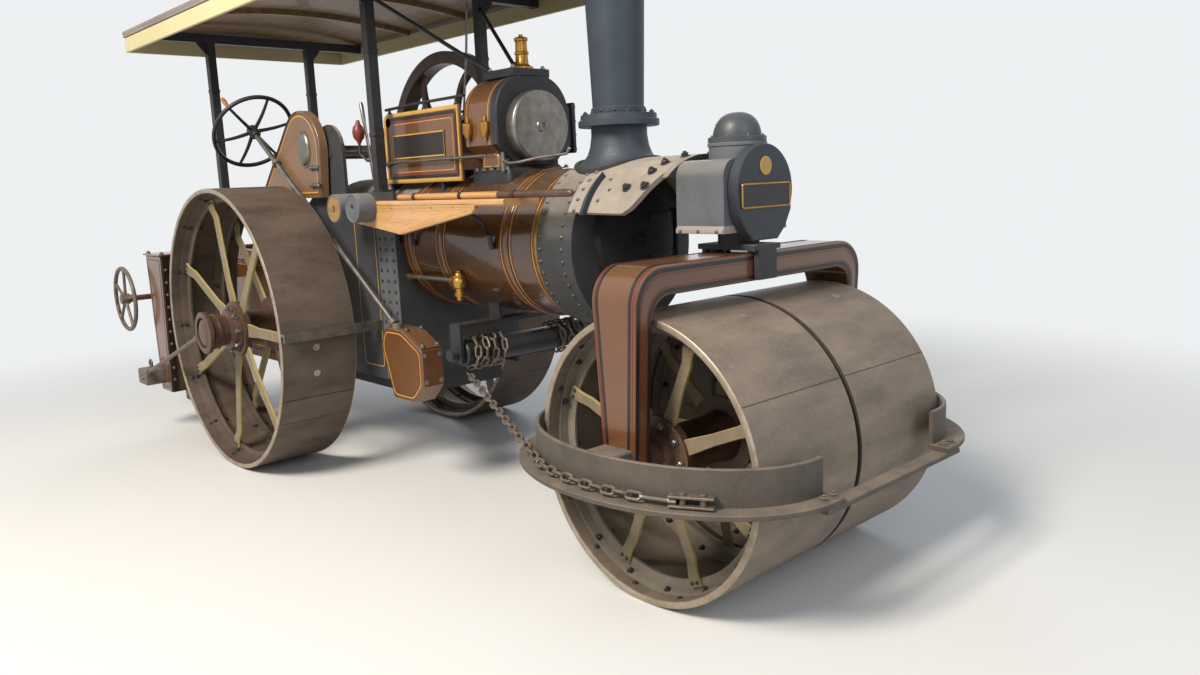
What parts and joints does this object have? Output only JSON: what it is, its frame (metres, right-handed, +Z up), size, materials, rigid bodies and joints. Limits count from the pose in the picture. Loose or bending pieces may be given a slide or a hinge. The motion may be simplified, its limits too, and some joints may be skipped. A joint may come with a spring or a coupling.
{
  "type": "steam roller",
  "caption": "Road roller driven by steam: horizontal boiler with cylinder on top, chain-steered front roll in a fork, large spoked rear rolls, canopy, tender and a side scarifier.",
  "frame": {"origin": "on the ground under the middle of the machine's overall length and width, the bottom centre of its bounding box", "axes": "+X forwards towards the front roll, +Y to the machine's left, +Z up"},
  "size_m": [5.7412, 2.17, 2.98],
  "materials": {
    "roll_iron": "dusty worn iron with bright rim edges",
    "brown_paint": "gloss brown coach paint with red, gold and black lining",
    "dark_paint": "dark brown paint, dusty",
    "smokebox_grey": "matt dark grey heat-proof paint, dusty",
    "blue_grey": "satin blue-grey paint",
    "black_paint": "satin black paint",
    "spoke_yellow": "pale yellow paint, dusty",
    "bright_steel": "bright oiled steel",
    "brass": "polished brass",
    "cream_boards": "cream painted boards",
    "varnished_wood": "varnished orange-brown timber",
    "chain_iron": "oiled dark chain iron with worn edges"
  },
  "bodies": {
    "machine": {"rear_axle": "black_paint", "boiler_barrel": "brown_paint", "firebox": "smokebox_grey", "smokebox": "smokebox_grey", "hornplate_right": "smokebox_grey", "hornplate_left": "smokebox_grey", "gear_guard": "brown_paint", "cylinder_block": "brown_paint", "cylinder_cover": "bright_steel", "safety_valve": "brass", "motion_plates": "brown_paint", "slide_bars": "bright_steel", "chimney_base": "blue_grey", "chimney": "blue_grey", "headstock": "smokebox_grey", "headstock_cap": "blue_grey", "barrel_hangers": "black_paint", "steering_column": "bright_steel", "worm_case": "brown_paint", "tender": "brown_paint", "canopy_roof": "cream_boards", "canopy_frame_rear": "black_paint", "canopy_frame_front": "black_paint", "side_shelf": "varnished_wood", "feed_valve": "brass", "scraper_right": "bright_steel", "scraper_left": "bright_steel", "scarifier_case": "dark_paint", "draught_rod": "dark_paint"},
    "rear_roll_right_body": {"rear_roll_right": "roll_iron"},
    "rear_roll_left_body": {"rear_roll_left": "roll_iron"},
    "crank": {"crankshaft": "bright_steel", "flywheel": "dark_paint"},
    "smokebox_door_body": {"smokebox_door": "black_paint"},
    "firehole_door_body": {"firehole_door": "black_paint"},
    "front_fork": {"steering_swivel": "smokebox_grey", "fork": "brown_paint", "front_axle": "bright_steel", "steering_bows": "smokebox_grey", "chain_wrap_right": "chain_iron", "chain_wrap_left": "chain_iron"},
    "front_roll": {"front_roll_right": "roll_iron", "front_roll_left": "roll_iron"},
    "steering_barrel": {"chain_barrel": "chain_iron"},
    "chain_right": {"chain_run_right": "chain_iron"},
    "chain_left": {"chain_run_left": "chain_iron"},
    "tine": {"scarifier_tine": "dark_paint"}
  },
  "joints": [
    {"name": "rear_roll_right_turn", "type": "hinge", "parent": "machine", "child": "rear_roll_right_body", "pos_m": [-1.01937, -0.76, 0.84], "axis": [0, 1, 0], "continuous": true},
    {"name": "rear_roll_left_turn", "type": "hinge", "parent": "machine", "child": "rear_roll_left_body", "pos_m": [-1.01937, 0.76, 0.84], "axis": [0, 1, 0], "continuous": true},
    {"name": "crank_turn", "type": "hinge", "parent": "machine", "child": "crank", "pos_m": [-0.57937, 0, 1.86], "axis": [0, 1, 0], "continuous": true},
    {"name": "smokebox_door_swing", "type": "hinge", "parent": "machine", "child": "smokebox_door_body", "pos_m": [1.53593, 0.27, 1.37], "axis": [0, 0, 1], "range_deg": [0, 45]},
    {"name": "firehole_door_swing", "type": "hinge", "parent": "machine", "child": "firehole_door_body", "pos_m": [-0.86967, 0.162, 1.12], "axis": [0, 0, -1], "range_deg": [0, 100]},
    {"name": "steer", "type": "hinge", "parent": "machine", "child": "front_fork", "pos_m": [2.13063, 0, 1.4], "axis": [0, 0, 1], "range_deg": [-30, 30]},
    {"name": "front_roll_turn", "type": "hinge", "parent": "front_fork", "child": "front_roll", "pos_m": [2.13063, 0, 0.57], "axis": [0, 1, 0], "continuous": true},
    {"name": "chain_barrel_turn", "type": "hinge", "parent": "machine", "child": "steering_barrel", "pos_m": [0.68063, 0, 0.8], "axis": [0, 1, 0], "range_deg": [-255, 255]},
    {"name": "chain_right_run", "type": "slide", "parent": "machine", "child": "chain_right", "axis": [0.9251, -0.3798, 0], "range_m": [-0.48, 0.48]},
    {"name": "chain_left_run", "type": "slide", "parent": "machine", "child": "chain_left", "axis": [0.9251, 0.3798, 0], "range_m": [-0.48, 0.48]},
    {"name": "tine_lower", "type": "slide", "parent": "machine", "child": "tine", "axis": [0, 0, 1], "range_m": [-0.14, 0]}
  ],
  "couplings": [
    {"joint": "chain_barrel_turn", "follows": "steer", "ratio": -8.45},
    {"joint": "chain_right_run", "follows": "steer", "m_per_rad": 0.9041},
    {"joint": "chain_left_run", "follows": "steer", "m_per_rad": -0.9041}
  ]
}
